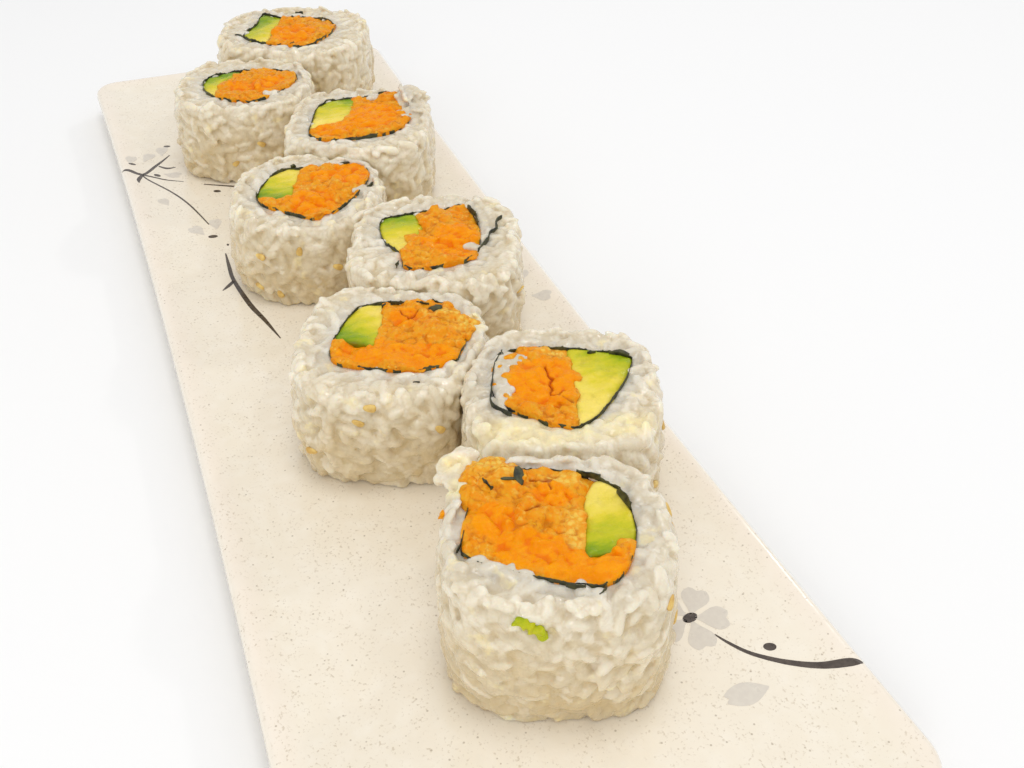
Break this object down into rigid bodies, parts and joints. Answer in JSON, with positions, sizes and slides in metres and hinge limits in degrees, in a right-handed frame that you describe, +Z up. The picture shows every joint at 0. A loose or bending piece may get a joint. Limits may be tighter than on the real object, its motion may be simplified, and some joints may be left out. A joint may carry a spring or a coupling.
{
  "type": "uramaki roll plate",
  "caption": "Cut inside-out sushi rolls of rice, nori, sweet potato tempura and avocado standing on a long rectangular glazed plate.",
  "frame": {"origin": "on the table under the middle of the plate", "axes": "+X along the plate towards the end with the tallest roll, +Z up out of the plate"},
  "size_m": [0.3784, 0.1174, 0.045],
  "materials": {
    "plate_glaze": "speckled cream",
    "rice": "moist",
    "nori": "matt",
    "sweet_potato": "moist",
    "avocado": "smooth"
  },
  "bodies": {
    "root": {"plate": "plate_glaze", "rice_1": "rice", "rice_2": "rice", "rice_3": "rice", "rice_4": "rice", "rice_5": "rice", "rice_6": "rice", "rice_7": "rice", "rice_8": "rice", "nori_1": "nori", "nori_2": "nori", "nori_3": "nori", "nori_4": "nori", "nori_5": "nori", "nori_6": "nori", "nori_7": "nori", "nori_8": "nori", "sweet_potato_1": "sweet_potato", "sweet_potato_2": "sweet_potato", "sweet_potato_3": "sweet_potato", "sweet_potato_4": "sweet_potato", "sweet_potato_5": "sweet_potato", "sweet_potato_6": "sweet_potato", "sweet_potato_7": "sweet_potato", "sweet_potato_8": "sweet_potato", "avocado_1": "avocado", "avocado_2": "avocado", "avocado_3": "avocado", "avocado_4": "avocado", "avocado_5": "avocado", "avocado_6": "avocado", "avocado_7": "avocado", "avocado_8": "avocado"}
  },
  "joints": []
}
